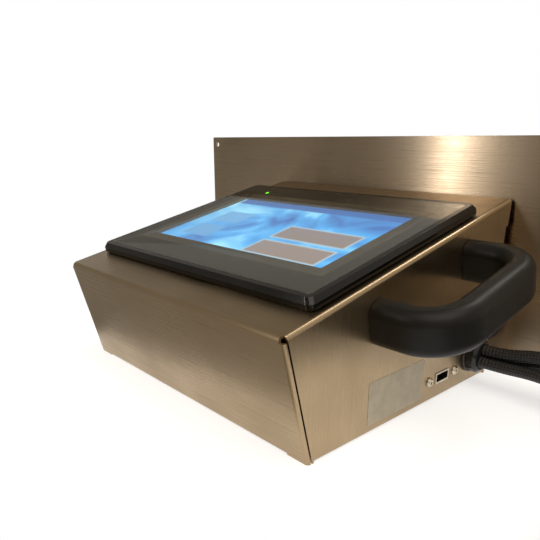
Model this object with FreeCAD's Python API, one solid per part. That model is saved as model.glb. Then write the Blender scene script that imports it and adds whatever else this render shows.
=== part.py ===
"""Touch-screen operator console on a hinged back plate: one STEP file per piece, in millimetres.

Working frame: X to the console's right, Y from the operator towards the back plate, Z up.
While it is built, y = 0 is the front edge of the base plate. The finished pieces are then moved
together, so that the origin is the middle of the object's footprint, under the base plate.
"""
import FreeCAD, Part
import math
import os

from FreeCAD import Vector

# ---------------------------------------------------------------- driving dimensions (mm, degrees)
COVER_WIDTH = 216.0          # outside of the folded cover
BASE_DEPTH = 172.4           # base plate, front to rear
FRONT_LENGTH = 71.5          # front panel, from the floor line to the top fold
FRONT_LEAN = 14.25           # front panel leans towards the operator
TOP_SLOPE = 13.2             # top panel rises towards the rear
REAR_LEAN = 5.45             # rear edges lean back from upright
SHEET = 1.5                  # cover and base sheet
BEND = 2.5                   # outside bend radius of the cover
FLANGE = 13.0                # inward flanges of the cover
FLANGE_GAP = 1.5             # between neighbouring flanges
FRONT_BEND = 2.0             # outside bend radius at the front panel's side edges
FRONT_RETURN = 2.1           # front panel's short flanges, round those edges
SEAM = 1.0                   # open seam between those flanges and the side panels
NOTCH = 0.5                  # relief notch beyond the bends where three folds meet
BASE_CLEAR = 1.2             # base plate to the cover's side panels

PLATE_WIDTH = 424.0          # back plate
PLATE_TOP = 155.0            # height of its upper edge
PLATE_BOTTOM = 12.0          # height of its lower edge
PLATE_THICKNESS = 2.0
PLATE_CORNER = 1.5
PLATE_HOLE = 4.5             # corner fixing holes
PLATE_HOLE_EDGE = 7.0        # hole centre to the plate's edges
TOP_SETBACK = 2.3            # top panel's rear edge to the back plate

TERMINAL_MARGIN = 5.0        # cover's sides to the bezel
TERMINAL_WIDTH = COVER_WIDTH - 2 * TERMINAL_MARGIN
TERMINAL_HEIGHT = 150.0      # bezel, up the slope
TERMINAL_CENTRE = 99.0       # bezel centre from the front fold, up the slope
BEZEL_THICKNESS = 6.0
BEZEL_RIM = 3.0              # straight rim below the bevel
BEZEL_BEVEL = 4.0            # width of the bevel between the rim and the face
BEZEL_CORNER = 4.0
BEZEL_WALL = 2.0             # front wall behind the touch film
GASKET = 0.8                 # compressed seal under the bezel
GASKET_WIDTH = 3.0
GASKET_INSET = 1.5
CUTOUT_INSET = 7.5           # bezel's edge to the cut-out in the top panel
CUTOUT_WIDTH = TERMINAL_WIDTH - 2 * CUTOUT_INSET
CUTOUT_HEIGHT = TERMINAL_HEIGHT - 2 * CUTOUT_INSET
CASE_GAP = 0.75              # case to the cut-out, all round
CASE_DEPTH = 37.0            # terminal case below the top panel
CASE_WALL = 2.5
CASE_CORNER = 3.0
WINDOW_SIDE = 22.5           # bezel's side edges to the visible display
WINDOW_WIDTH = TERMINAL_WIDTH - 2 * WINDOW_SIDE
WINDOW_HEIGHT = 86.0
FILM = 0.8                   # touch film on the bezel's face
FILM_MARGIN = 3.0            # bezel face showing round the film
DISPLAY_MARGIN = 4.0         # display beyond its window
DISPLAY_THICKNESS = 6.0
BOARD_THICKNESS = 1.6
BOARD_DROP = 18.0            # board's upper face below the top panel
BOARD_MARGIN = 9.0           # board to the case wall
POST = 7.0                   # board posts and their screws
LAMP_DIAMETER = 3.0
LAMP_INSET = 33.0            # lamp from the bezel's left edge
LAMP_X = LAMP_INSET - TERMINAL_WIDTH / 2
LAMP_S = TERMINAL_HEIGHT / 2 - 18.0
VENT_PITCH = 8.0             # vent slots in the case's back
VENT_WIDTH = 3.0
VENT_LENGTH = 50.0

CLAMP_X = 62.0               # clamps from the centre line
CLAMP_WIDTH = 10.0
CLAMP_DROP = 16.0            # top panel to the clamp's foot
CLAMP_REACH = 12.0
CLAMP_THICK = 3.0
CLAMP_SCREW = 4.0

CONNECTOR_UP = -38.0         # connectors' row on the case, from the bezel's centre
POWER_X = 40.5 - CUTOUT_WIDTH / 2
DATA_X = -8.0
NETWORK_X = 30.0
USB_LEAD_X = 56.0
SOCKET_OUT = 5.0             # sockets below the case
POWER_BLOCK = 12.0           # lengths of the block and of the plugs
DATA_PLUG = 16.0
NETWORK_PLUG = 14.0
USB_LEAD_PLUG = 16.0

HANDLE_START = 50.0          # front foot's centre, from the front edge
HANDLE_RISE = 63.0           # height of the front foot's centre
HANDLE_SPAN = 88.0           # between foot centres
HANDLE_REACH = 39.0          # side panel to the grip's centreline
HANDLE_BEND = 21.0           # centreline bend radius
HANDLE_TALL = 25.0           # grip section
HANDLE_THICK = 16.0
HANDLE_ROUND = 7.0
HANDLE_SCREW = 5.0           # M5 fixing screws
HANDLE_SCREW_DEPTH = 12.0

GLAND_Y = BASE_DEPTH - 22.4  # cable gland on the right side panel
USB_Y = GLAND_Y - 33.0       # panel socket on the right side panel
USB_Z = 13.4
USB_SCREW_SPACING = 28.0
USB_WIDTH = 13.1             # metal shell, outside
USB_HEIGHT = 5.7
USB_SHELL = 0.4
USB_DEPTH = 17.0             # housing behind the panel
USB_EAR = 3.0
USB_SCREW = 3.0

GLAND_Z = 20.0
GLAND_DIAMETER = 24.0
GLAND_THREAD = 20.0
GLAND_RIM = 2.5
GLAND_CAP = 22.0
GLAND_CAP_LENGTH = 6.5
GLAND_NUT = 4.0
GLAND_NUT_ACROSS = 24.0
GLAND_WALL = 1.2

HINGE_WIDTH = 180.0          # piano hinge under the top panel's rear edge
HINGE_KNUCKLE = 5.0          # outside diameter
HINGE_PIN = 2.6
HINGE_LEAF = 1.2
HINGE_LEAF_DEPTH = 17.0
HINGE_PARTS = 9
HINGE_GAP = 0.4
HINGE_OFF_PLATE = 0.2        # knuckles clear of the back plate
RUNNING = 0.05               # radial running clearance
RIVET = 4.0
RIVET_X = 70.0
RIVET_DROP = 12.0            # rivets below the hinge axis

BUFFER_DIAMETER = 14.0
BUFFER_Z = 27.0
BUFFER_CLEAR = 0.3           # dome to the plate at rest
BUFFER_STUD = 4.0

BASE_SCREW = 4.0
BASE_SCREW_Y = (20.0, 92.0, BASE_DEPTH - 6.4)
BASE_NUT = 8.0
BASE_NUT_HEIGHT = 4.0

LEAD = 5.0                   # wiring inside the cover
CABLE = 7.5                  # braided cables outside
STRAND_GAP = 0.2             # between the cables in the gland
COIL_RADIUS = 38.5           # centreline of each wound coil
COIL_TURNS = 3
TURN_GAP = 0.3
STUB = 24.5                  # straight ends of a coil, clear of its ring
END_RUN = 14.0               # straight ends of a cable's route
CABLE_REST = 0.05            # cables to the surface they lie on
TIE = 1.0                    # thickness of the strap round each coil
TIE_WIDTH = 10.0
TIE_GAP = 0.5                # strap to the coil's sides
PLUG_DIAMETER = 17.0
PLUG_LENGTH = 42.0

HALF = COVER_WIDTH / 2
INSIDE = HALF - SHEET


# ---------------------------------------------------------------- directions and reference points
def sind(angle):
    return math.sin(math.radians(angle))


def cosd(angle):
    return math.cos(math.radians(angle))


X = Vector(1, 0, 0)
Y = Vector(0, 1, 0)
Z = Vector(0, 0, 1)
UP_FRONT = Vector(0, -sind(FRONT_LEAN), cosd(FRONT_LEAN))     # up the front panel
INTO_FRONT = Vector(0, cosd(FRONT_LEAN), sind(FRONT_LEAN))    # from the front panel inwards
UP_SLOPE = Vector(0, cosd(TOP_SLOPE), sind(TOP_SLOPE))        # up the top panel, to the rear
TOP_NORMAL = Vector(0, -sind(TOP_SLOPE), cosd(TOP_SLOPE))     # out of the top panel
UP_REAR = Vector(0, sind(REAR_LEAN), cosd(REAR_LEAN))         # up the rear edges
REAR_NORMAL = Vector(0, cosd(REAR_LEAN), -sind(REAR_LEAN))    # out of the rear opening

FRONT_FOLD = UP_FRONT * FRONT_LENGTH
REAR_FOOT = Vector(0, BASE_DEPTH, 0)
SLOPE_LENGTH = (REAR_FOOT - FRONT_FOLD).dot(REAR_NORMAL) / UP_SLOPE.dot(REAR_NORMAL)
REAR_TOP = FRONT_FOLD + UP_SLOPE * SLOPE_LENGTH               # top panel's rear edge
PLATE_FRONT = REAR_TOP.y + TOP_SETBACK                        # back plate's front face
TERMINAL = FRONT_FOLD + UP_SLOPE * TERMINAL_CENTRE            # bezel centre on the top panel
HINGE_Y = PLATE_FRONT - HINGE_OFF_PLATE - HINGE_KNUCKLE / 2
HINGE_Z = FRONT_FOLD.z + (sind(TOP_SLOPE) * (HINGE_Y - FRONT_FOLD.y)
                          - SHEET - HINGE_KNUCKLE / 2) / cosd(TOP_SLOPE)
HINGE = Vector(0, HINGE_Y, HINGE_Z)
FOOT = Vector(HALF, HANDLE_START, HANDLE_RISE)                # handle's front foot
SOCKET = Vector(HALF, USB_Y, USB_Z)
GLAND = Vector(HALF, GLAND_Y, GLAND_Z)
GLAND_FACE = HALF + GLAND_RIM + GLAND_CAP_LENGTH


# ---------------------------------------------------------------- shape helpers
def prism(points, origin, u, v, length):
    """A closed outline in the u-v plane, extruded along u x v."""
    corners = [origin + u * a + v * b for a, b in points]
    return Part.Face(Part.makePolygon(corners + corners[:1])).extrude(u.cross(v) * length)


def slab(centre, u, v, width, height, thickness, corner=0.0):
    """A rectangle centred in the u-v plane, extruded along u x v, with rounded corners."""
    a, b = width / 2, height / 2
    body = prism([(-a, -b), (a, -b), (a, b), (-a, b)], centre, u, v, thickness)
    return round_edges(body, corner, u.cross(v)) if corner else body


def round_edges(body, radius, direction, keep=lambda point: True):
    """Rounds the straight edges that run along a direction and that keep() accepts."""
    picked = [edge for edge in body.Edges
              if isinstance(edge.Curve, Part.Line)
              and abs(abs(edge.tangentAt(edge.FirstParameter).dot(direction)) - 1) < 1e-6
              and keep(edge.CenterOfMass)]
    return body.makeFillet(radius, picked)


def rod(start, direction, radius, length):
    return Part.makeCylinder(radius, length, start, direction)


def cone(start, direction, radius, end_radius, length):
    return Part.makeCone(radius, end_radius, length, start, direction)


def ring(start, direction, outer, inner, length):
    return rod(start, direction, outer, length).cut(rod(start, direction, inner, length))


def hexagon(start, direction, across, length):
    """A hexagonal prism, across its flats."""
    side = X if abs(direction.dot(X)) < 0.5 else Y
    u = side - direction * side.dot(direction)
    u.normalize()
    v = direction.cross(u)
    reach = across / math.sqrt(3)
    return prism([(reach * cosd(60 * k), reach * sind(60 * k)) for k in range(6)], start, u, v, length)


def join(shapes):
    whole = shapes[0]
    if len(shapes) > 1:
        whole = whole.fuse(shapes[1:])
    return whole.removeSplitter()


def group(shapes):
    """Separate pieces of one kind, kept together in one node."""
    return Part.makeCompound(shapes)


def folded(points, origin, u, v, length, thickness=SHEET, bend=BEND):
    """Sheet folded along the given outside corners, extruded along u x v.

    The sheet lies to the right of the direction of travel. Outside bends have the bend radius and
    inside bends are smaller by the thickness.
    """
    inner = []
    for k, (a, b) in enumerate(points):
        normals = []
        for one, two in ((k - 1, k), (k, k + 1)):
            if one < 0 or two >= len(points):
                continue
            dx, dy = points[two][0] - points[one][0], points[two][1] - points[one][1]
            size = math.hypot(dx, dy)
            normals.append((dy / size, -dx / size))
        nx, ny = sum(n[0] for n in normals), sum(n[1] for n in normals)
        scale = len(normals) * thickness / (nx * nx + ny * ny)
        inner.append((a + nx * scale, b + ny * scale))
    body = prism(list(points) + inner[::-1], origin, u, v, length)
    for row, radius in ((points[1:-1], bend), (inner[1:-1], bend - thickness)):
        for a, b in row:
            line = origin + u * a + v * b

            def on_corner(point, line=line):
                gap = point - line
                return (gap - u.cross(v) * gap.dot(u.cross(v))).Length < 1e-4
            body = round_edges(body, radius, u.cross(v), on_corner)
    return body


def tube(points, diameter, name):
    """A round tube along straight runs joined by tangent arcs, as large as the runs allow."""
    edges, radii, here = [], [], points[0]
    for before, corner, after in zip(points, points[1:], points[2:]):
        back, ahead = before - corner, after - corner
        shorter = min(back.Length, ahead.Length)
        back.normalize()
        ahead.normalize()
        turn = math.pi - back.getAngle(ahead)
        trim = 0.45 * shorter
        radii.append(trim / math.tan(turn / 2))
        start, end = corner + back * trim, corner + ahead * trim
        bisector = back + ahead
        bisector.normalize()
        centre = corner + bisector * math.hypot(trim, radii[-1])
        edges.append(Part.LineSegment(here, start).toShape())
        edges.append(Part.Arc(start, centre - bisector * radii[-1], end).toShape())
        here = end
    edges.append(Part.LineSegment(here, points[-1]).toShape())
    path = Part.Wire(edges)
    section = Part.Wire(Part.makeCircle(diameter / 2, points[0], points[1] - points[0]))
    body = path.makePipeShell([section], True, False)
    expected = math.pi * diameter ** 2 / 4 * path.Length
    print("%s: length %.0f, radii %s, volume ratio %.4f"
          % (name, path.Length, " ".join("%.0f" % r for r in radii), body.Volume / expected))
    return body


def on_terminal(across, up, out=0.0):
    """A point by its place on the bezel: across, up the slope, and out of the top panel."""
    return TERMINAL + X * across + UP_SLOPE * up + TOP_NORMAL * out


# ---------------------------------------------------------------- folded cover and base
def meet(point, direction, other, normal):
    """Where a line meets the plane through another point."""
    return point + direction * ((other - point).dot(normal) / direction.dot(normal))


def side_view(front_gap, top_gap):
    """The console's side view as a solid above the base, set back from its front and its top."""
    top = FRONT_FOLD - TOP_NORMAL * top_gap
    low_front = INTO_FRONT * front_gap - UP_FRONT * 30
    low_rear = REAR_FOOT - UP_REAR * 30
    corners = [low_front, meet(low_front, UP_FRONT, top, TOP_NORMAL),
               meet(low_rear, UP_REAR, top, TOP_NORMAL), low_rear]
    body = prism([(point.y, point.z) for point in corners], X * -COVER_WIDTH, Y, Z, 2 * COVER_WIDTH)
    return body.cut(slab(Z * -BASE_DEPTH, X, Y, 4 * COVER_WIDTH, 4 * BASE_DEPTH, BASE_DEPTH))


def both_sides(body):
    return [body, body.mirror(Vector(0, 0, 0), X)]


def edge_flange(end, inward, length):
    """An inward flange along an edge of the right side panel, and the strip it replaces."""
    strip = folded([(HALF, 3 * BEND), (HALF, 0), (HALF - FLANGE, 0)], end, X, inward, length)
    edge = prism([(INSIDE, -BEND), (HALF + BEND, -BEND), (HALF + BEND, BEND), (INSIDE, BEND)],
                 end, X, inward, length)
    return strip, edge


def buffer_seat(side):
    """Centre of a buffer on the outer face of the rear flange."""
    foot = REAR_FOOT + UP_REAR * (BUFFER_Z / UP_REAR.z)
    return foot + X * side * (HALF - FLANGE / 2)


def handle_feet():
    return [FOOT, FOOT + UP_SLOPE * HANDLE_SPAN]


def usb_screw_places():
    return [SOCKET + Y * (k * USB_SCREW_SPACING / 2) for k in (-1, 1)]


def base_screw_places():
    return [Vector(side * (HALF - FLANGE / 2 - SHEET / 2), y, 0) for side in (-1, 1) for y in BASE_SCREW_Y]


def cover():
    """Top, sides and front of one folded sheet, with flanges, seams, relief notches and cut-outs."""
    under_top = BEND + NOTCH
    beside_front = FRONT_RETURN + SEAM
    flat = HALF - BEND - NOTCH
    hood = folded([(-HALF, -SLOPE_LENGTH), (-HALF, 0), (HALF, 0), (HALF, -SLOPE_LENGTH)],
                  FRONT_FOLD - UP_SLOPE * 2 * beside_front, X * -1, TOP_NORMAL, SLOPE_LENGTH + 4 * beside_front)
    bends = slab(FRONT_FOLD - TOP_NORMAL * BEND, X, UP_SLOPE, 2 * COVER_WIDTH, 3 * SLOPE_LENGTH, 2 * BEND)
    hood = join([hood.common(side_view(beside_front, 0)), hood.common(side_view(under_top, 0)).common(bends)])
    tongue = slab(FRONT_FOLD + UP_SLOPE * under_top - TOP_NORMAL * SHEET, X, UP_SLOPE,
                  2 * flat, 4 * under_top, SHEET).common(side_view(0, 0))
    front = folded([(HALF, FRONT_RETURN), (HALF, 0), (-HALF, 0), (-HALF, FRONT_RETURN)],
                   UP_FRONT * -2 * BEND, X, INTO_FRONT, FRONT_LENGTH + 4 * BEND, SHEET, FRONT_BEND)
    middle = slab(Z * -BEND, X, Y, 2 * flat, 4 * BASE_DEPTH, 2 * FRONT_LENGTH)
    front = join([front.common(side_view(0, 0)).common(middle), front.common(side_view(0, under_top))])

    low = HALF - FLANGE - FLANGE_GAP
    front_strip = folded([(FLANGE, 0), (0, 0), (-3 * BEND * sind(FRONT_LEAN), 3 * BEND * cosd(FRONT_LEAN))],
                         X * -low, Y, Z, 2 * low)
    front_edge = prism([(-BEND, -BEND), (SHEET, -BEND), (SHEET, 1.5 * BEND), (-BEND, 1.5 * BEND)],
                       X * -low, INTO_FRONT, UP_FRONT, 2 * low)
    side_bottom = Vector(0, BASE_DEPTH - FLANGE_GAP, 0)
    rear_top = REAR_FOOT + UP_REAR * (REAR_TOP.z - HINGE_LEAF_DEPTH)
    strips, edges = [front_strip], []
    for end, inward, length in ((side_bottom, Z, BASE_DEPTH - FLANGE_GAP - 2 * FRONT_RETURN),
                                (rear_top, REAR_NORMAL * -1, REAR_TOP.z - HINGE_LEAF_DEPTH - FLANGE)):
        strip, edge = edge_flange(end, inward, length)
        strips += both_sides(strip)
        edges += both_sides(edge)
    body = join([hood.cut(Part.makeCompound(edges)), tongue, front.cut(front_edge)] + strips)

    inner_fold = meet(FRONT_FOLD + INTO_FRONT * SHEET, UP_FRONT, FRONT_FOLD - TOP_NORMAL * SHEET, TOP_NORMAL)
    for line, radius in ((FRONT_FOLD, BEND), (inner_fold, BEND - SHEET)):
        body = round_edges(body, radius, X, lambda point, line=line: (point - line).Length < 1e-3)

    cuts = [slab(on_terminal(0, 0, -CASE_DEPTH), X, UP_SLOPE, CUTOUT_WIDTH, CUTOUT_HEIGHT, 2 * CASE_DEPTH,
                 CASE_CORNER)]
    inner = INSIDE - SHEET
    for foot in handle_feet():
        cuts.append(rod(Vector(inner, foot.y, foot.z), X, HANDLE_SCREW / 2 + 0.25, 4 * SHEET))
    cuts.append(slab(Vector(inner, USB_Y, USB_Z), Y, Z, USB_WIDTH + 0.6, USB_HEIGHT + 0.6, 4 * SHEET, 1.0))
    for place in usb_screw_places():
        cuts.append(rod(Vector(inner, place.y, place.z), X, USB_SCREW / 2 + 0.2, 4 * SHEET))
    cuts.append(rod(Vector(inner, GLAND_Y, GLAND_Z), X, GLAND_THREAD / 2 + 0.25, 4 * SHEET))
    for place in base_screw_places():
        cuts.append(cone(place, Z, BASE_SCREW + 0.1, BASE_SCREW / 2 + 0.2, SHEET))
    for side in (-1, 1):
        cuts.append(rod(buffer_seat(side) + REAR_NORMAL * SHEET, REAR_NORMAL * -1,
                        BUFFER_STUD / 2 + 0.2, 4 * SHEET))
    return body.cut(Part.makeCompound(cuts)).removeSplitter()


def base_plate():
    """Flat plate inside the cover, on its turned-in bottom flanges."""
    front, rear = BEND + FLANGE_GAP, BASE_DEPTH - FLANGE_GAP
    body = slab(Vector(0, (front + rear) / 2, SHEET), X, Y, 2 * (INSIDE - BASE_CLEAR), rear - front, SHEET, 1.0)
    holes = [rod(place, Z, BASE_SCREW / 2 + 0.2, 4 * SHEET) for place in base_screw_places()]
    return body.cut(Part.makeCompound(holes))


def base_screws():
    """Countersunk screws, flush with the underside of the cover's flanges."""
    pieces = []
    for place in base_screw_places():
        head = cone(place + Z * 0.1, Z, BASE_SCREW - 0.1, BASE_SCREW / 2, SHEET - 0.1)
        shank = rod(place + Z * (SHEET - 0.2), Z, BASE_SCREW / 2, SHEET + BASE_NUT_HEIGHT + 1.2)
        socket = hexagon(place, Z, 2.5, 1.0)
        pieces.append(join([head, shank]).cut(socket))
    return group(pieces)


def base_nuts():
    """Clinch nuts on the base plate."""
    return group([ring(place + Z * 2 * SHEET, Z, BASE_NUT / 2, BASE_SCREW / 2 + RUNNING, BASE_NUT_HEIGHT)
                  for place in base_screw_places()])


# ---------------------------------------------------------------- operator terminal
def terminal_bezel():
    """Front frame: straight rim, bevel to the face, recess for the film, window and lamp hole."""
    face_out = GASKET + BEZEL_THICKNESS
    rim = slab(on_terminal(0, 0, GASKET), X, UP_SLOPE, TERMINAL_WIDTH, TERMINAL_HEIGHT, BEZEL_RIM,
               BEZEL_CORNER)
    bevel_low = slab(on_terminal(0, 0, GASKET + BEZEL_RIM), X, UP_SLOPE, TERMINAL_WIDTH,
                     TERMINAL_HEIGHT, 1, BEZEL_CORNER)
    bevel_high = slab(on_terminal(0, 0, face_out), X, UP_SLOPE, TERMINAL_WIDTH - 2 * BEZEL_BEVEL,
                      TERMINAL_HEIGHT - 2 * BEZEL_BEVEL, 1, BEZEL_CORNER)
    outlines = [lowest_wire(bevel_low, GASKET + BEZEL_RIM), lowest_wire(bevel_high, face_out)]
    bevel = Part.makeLoft(outlines, True, True)
    body = join([rim, bevel])
    film = slab(on_terminal(0, 0, face_out - FILM), X, UP_SLOPE, film_width(), film_height(), 2 * FILM,
                BEZEL_CORNER - 1)
    window = slab(on_terminal(0, 0, 0), X, UP_SLOPE, WINDOW_WIDTH, WINDOW_HEIGHT, 2 * BEZEL_THICKNESS, 1.0)
    back = slab(on_terminal(0, 0, 0), X, UP_SLOPE, case_width() - 2 * CASE_WALL,
                case_height() - 2 * CASE_WALL, face_out - FILM - BEZEL_WALL, CASE_CORNER)
    lamp = rod(on_terminal(LAMP_X, LAMP_S, 0), TOP_NORMAL, LAMP_DIAMETER / 2 + RUNNING, face_out)
    return body.cut(Part.makeCompound([film])).cut(window).cut(back).cut(lamp)


def lowest_wire(body, out):
    """The outline of the face of a body that lies at a height above the top panel."""
    level = on_terminal(0, 0, out).dot(TOP_NORMAL)
    for face in body.Faces:
        if abs(face.CenterOfMass.dot(TOP_NORMAL) - level) < 1e-6:
            return face.OuterWire
    raise ValueError("no face at this height")


def film_width():
    return TERMINAL_WIDTH - 2 * BEZEL_BEVEL - 2 * FILM_MARGIN


def film_height():
    return TERMINAL_HEIGHT - 2 * BEZEL_BEVEL - 2 * FILM_MARGIN


def case_width():
    return CUTOUT_WIDTH - 2 * CASE_GAP


def case_height():
    return CUTOUT_HEIGHT - 2 * CASE_GAP


def touch_film():
    return slab(on_terminal(0, 0, GASKET + BEZEL_THICKNESS - FILM), X, UP_SLOPE, film_width(),
                film_height(), FILM, BEZEL_CORNER - 1)


def display_top():
    return GASKET + BEZEL_THICKNESS - FILM - BEZEL_WALL


def display_panel():
    return slab(on_terminal(0, 0, display_top() - DISPLAY_THICKNESS), X, UP_SLOPE,
                WINDOW_WIDTH + 2 * DISPLAY_MARGIN, WINDOW_HEIGHT + 2 * DISPLAY_MARGIN,
                DISPLAY_THICKNESS, 1.0)


def power_lamp():
    return rod(on_terminal(LAMP_X, LAMP_S, display_top()), TOP_NORMAL, LAMP_DIAMETER / 2, BEZEL_WALL)


def terminal_gasket():
    outer = slab(on_terminal(0, 0, 0), X, UP_SLOPE, TERMINAL_WIDTH - 2 * GASKET_INSET,
                 TERMINAL_HEIGHT - 2 * GASKET_INSET, GASKET, BEZEL_CORNER)
    inset = GASKET_INSET + GASKET_WIDTH
    return outer.cut(slab(on_terminal(0, 0, 0), X, UP_SLOPE, TERMINAL_WIDTH - 2 * inset,
                          TERMINAL_HEIGHT - 2 * inset, GASKET, BEZEL_CORNER - 1))


def board_size():
    margin = 2 * (CASE_WALL + BOARD_MARGIN)
    return case_width() - margin, case_height() - margin


def post_places():
    width, height = board_size()
    return [(i * (width / 2 - POST), j * (height / 2 - POST)) for i in (-1, 1) for j in (-1, 1)]


def terminal_case():
    """Open tray behind the bezel, with posts for the board, vents and clamp slots."""
    height = CASE_DEPTH + GASKET
    outer = slab(on_terminal(0, 0, -CASE_DEPTH), X, UP_SLOPE, case_width(), case_height(), height,
                 CASE_CORNER)
    inner = slab(on_terminal(0, 0, CASE_WALL - CASE_DEPTH), X, UP_SLOPE, case_width() - 2 * CASE_WALL,
                 case_height() - 2 * CASE_WALL, height, CASE_CORNER - 1)
    body = outer.cut(inner)
    floor = CASE_WALL - CASE_DEPTH
    post = CASE_DEPTH - CASE_WALL - BOARD_DROP - BOARD_THICKNESS
    posts = [rod(on_terminal(x, s, floor), TOP_NORMAL, POST / 2, post) for x, s in post_places()]
    body = join([body] + posts)
    vents = [slab(on_terminal(k * VENT_PITCH, 0, -2 * CASE_DEPTH), X, UP_SLOPE, VENT_WIDTH, VENT_LENGTH,
                  2 * CASE_DEPTH) for k in (-9, -8, -7, -6, 6, 7, 8, 9)]
    slots = [slab(on_terminal(x, 0, -CLAMP_DROP - CLAMP_THICK), X, UP_SLOPE, CLAMP_WIDTH + 1,
                  case_height() + 2, CLAMP_THICK, 0)
             .cut(slab(on_terminal(x, 0, -CLAMP_DROP - 2 * CLAMP_THICK), X, UP_SLOPE, CLAMP_WIDTH + 2,
                       case_height() - 2 * CASE_WALL - 1, 3 * CLAMP_THICK, 0))
             for x in (-CLAMP_X, CLAMP_X)]
    return body.cut(Part.makeCompound(vents)).cut(Part.makeCompound(slots))


def circuit_board():
    width, height = board_size()
    body = slab(on_terminal(0, 0, -BOARD_DROP - BOARD_THICKNESS), X, UP_SLOPE, width, height, BOARD_THICKNESS)
    holes = [rod(on_terminal(x, s, -CASE_DEPTH), TOP_NORMAL, 1.6, CASE_DEPTH) for x, s in post_places()]
    return body.cut(Part.makeCompound(holes))


def board_screws():
    pieces = []
    for x, s in post_places():
        head = rod(on_terminal(x, s, -BOARD_DROP), TOP_NORMAL, 2.8, 2.0)
        pieces.append(head.cut(hexagon(on_terminal(x, s, 1.0 - BOARD_DROP), TOP_NORMAL, 2.0, 1.0)))
    return group(pieces)


def clamp_places():
    edge = case_height() / 2
    return [(x, side * edge, side) for x in (-CLAMP_X, CLAMP_X) for side in (-1, 1)]


def terminal_clamps():
    """Brackets hooked into the case's slots; their screws press up against the cover."""
    pieces = []
    for x, s, side in clamp_places():
        bar = slab(on_terminal(x, s + side * (CLAMP_REACH - CASE_WALL) / 2 + side * 0.1,
                               -CLAMP_DROP - CLAMP_THICK + 0.1), X, UP_SLOPE, CLAMP_WIDTH,
                   CLAMP_REACH + CASE_WALL - 0.2, CLAMP_THICK - 0.2)
        pad = slab(on_terminal(x, s + side * (CLAMP_REACH - 4), -CLAMP_DROP - CLAMP_THICK - 3.9), X,
                   UP_SLOPE, CLAMP_WIDTH, 8, 4.1)
        hole = rod(on_terminal(x, s + side * (CLAMP_REACH - 4), -2 * CASE_DEPTH), TOP_NORMAL,
                   CLAMP_SCREW / 2 + RUNNING, 2 * CASE_DEPTH)
        pieces.append(join([bar, pad]).cut(hole))
    return group(pieces)


def clamp_screws():
    pieces = []
    for x, s, side in clamp_places():
        foot = on_terminal(x, s + side * (CLAMP_REACH - 4), -SHEET)
        pieces.append(join([rod(foot, TOP_NORMAL * -1, CLAMP_SCREW / 2, CLAMP_DROP + 12),
                            rod(foot - TOP_NORMAL * (CLAMP_DROP + 12), TOP_NORMAL * -1, 3.5, 3)]))
    return group(pieces)


def connector(across, up, width, height, length, out=-CASE_DEPTH):
    """A rectangular connector standing down from the terminal case."""
    return slab(on_terminal(across, up, out - length), X, UP_SLOPE, width, height, length, 0.8)


def power_terminal_block():
    body = connector(POWER_X, CONNECTOR_UP, 26, 10, POWER_BLOCK)
    for k in (-1, 0, 1):
        wire = rod(on_terminal(POWER_X + 8 * k, CONNECTOR_UP, -CASE_DEPTH - POWER_BLOCK), TOP_NORMAL, 2.6, 6)
        body = body.cut(wire)
    return body


def data_socket():
    return connector(DATA_X, CONNECTOR_UP, 31, 12.5, SOCKET_OUT)


def data_plug():
    return connector(DATA_X, CONNECTOR_UP, 33, 14, DATA_PLUG, -CASE_DEPTH - SOCKET_OUT)


def network_socket():
    return connector(NETWORK_X, CONNECTOR_UP, 16, 14, SOCKET_OUT)


def network_plug():
    return connector(NETWORK_X, CONNECTOR_UP, 12, 9, NETWORK_PLUG, -CASE_DEPTH - SOCKET_OUT)


def usb_lead_plug():
    return connector(USB_LEAD_X, CONNECTOR_UP, 12, 7, USB_LEAD_PLUG)


# ---------------------------------------------------------------- handle
def handle_section(centre, along, side):
    """Rounded oblong section: tall out of the slope, thin across the grip."""
    flat = slab(centre, side, along.cross(side), HANDLE_THICK, HANDLE_TALL, 1.0, HANDLE_ROUND)
    for face in flat.Faces:
        if (face.CenterOfMass - centre).Length < 1e-6:
            return face.OuterWire
    raise ValueError("no section face")


def handle():
    """Bridge handle: two legs, two bends and a straight grip, with tapped feet."""
    start, end = handle_feet()
    out = X * HANDLE_REACH
    diagonal = HANDLE_BEND * (1 - cosd(45))
    first = start + out + UP_SLOPE * diagonal - X * diagonal
    second = end + out - UP_SLOPE * diagonal - X * diagonal
    edges = [Part.LineSegment(start, start + out - X * HANDLE_BEND).toShape(),
             Part.Arc(start + out - X * HANDLE_BEND, first, start + out + UP_SLOPE * HANDLE_BEND).toShape(),
             Part.LineSegment(start + out + UP_SLOPE * HANDLE_BEND, end + out - UP_SLOPE * HANDLE_BEND).toShape(),
             Part.Arc(end + out - UP_SLOPE * HANDLE_BEND, second, end + out - X * HANDLE_BEND).toShape(),
             Part.LineSegment(end + out - X * HANDLE_BEND, end).toShape()]
    body = Part.Wire(edges).makePipeShell([handle_section(start, X, UP_SLOPE)], True, False)
    holes = [rod(foot, X, HANDLE_SCREW / 2 + RUNNING, HANDLE_SCREW_DEPTH + 2) for foot in handle_feet()]
    return body.cut(Part.makeCompound(holes))


def handle_washers():
    return group([ring(foot - X * (SHEET + 1.0), X, HANDLE_SCREW, HANDLE_SCREW / 2 + 0.2, 1.0)
                  for foot in handle_feet()])


def handle_screws():
    """Cap screws from inside the cover into the handle's feet."""
    pieces = []
    for foot in handle_feet():
        under_head = foot - X * (SHEET + 1.0)
        head = rod(under_head - X * HANDLE_SCREW, X, HANDLE_SCREW * 0.85, HANDLE_SCREW)
        shank = rod(under_head, X, HANDLE_SCREW / 2, SHEET + 1.0 + HANDLE_SCREW_DEPTH)
        socket = hexagon(under_head - X * HANDLE_SCREW, X, 4.0, 2.5)
        pieces.append(join([head, shank]).cut(socket))
    return group(pieces)


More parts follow.
